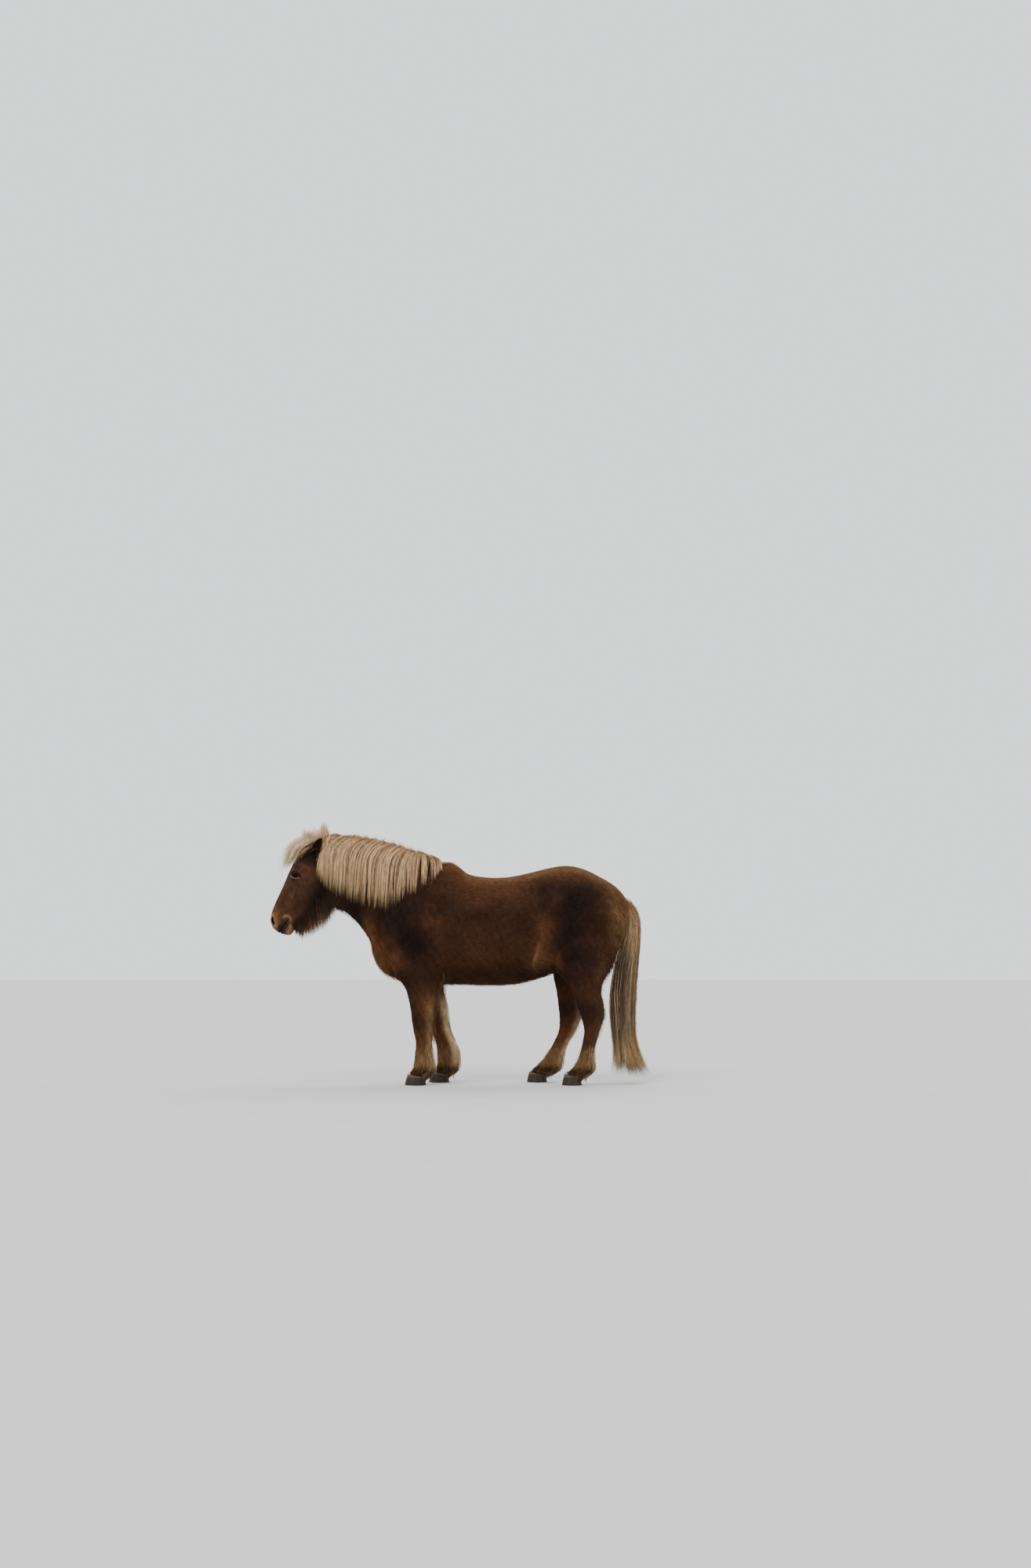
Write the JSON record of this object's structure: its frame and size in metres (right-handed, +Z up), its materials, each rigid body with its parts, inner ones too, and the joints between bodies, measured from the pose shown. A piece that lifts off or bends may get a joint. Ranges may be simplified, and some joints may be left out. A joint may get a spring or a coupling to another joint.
{
  "type": "life-size still model of an icelandic horse",
  "caption": "Life-size still model of an Icelandic horse standing in its winter coat, with a long pale mane over its neck, a forelock and a full tail.",
  "frame": {"origin": "on the floor below the middle of the bounding box", "axes": "the horse looks to -X, its left side is at -Y, and +Z is up"},
  "size_m": [2.402, 0.5732, 1.6821],
  "materials": {
    "coat": "dense chestnut winter hair",
    "mane": "long pale flaxen hair over a chestnut neck",
    "tail_hair": "long flaxen hair with dark strands",
    "eye": "wet gloss",
    "hoof": "weathered grey horn"
  },
  "bodies": {
    "root": {"ear_left": "coat", "ear_right": "coat", "eye_left": "eye", "eye_right": "eye", "head": "coat", "hoof_front_left": "hoof", "hoof_front_right": "hoof", "hoof_hind_left": "hoof", "hoof_hind_right": "hoof", "leg_front_left": "coat", "leg_front_right": "coat", "leg_hind_left": "coat", "leg_hind_right": "coat", "neck": "mane", "tail": "tail_hair", "torso": "coat"}
  },
  "joints": []
}
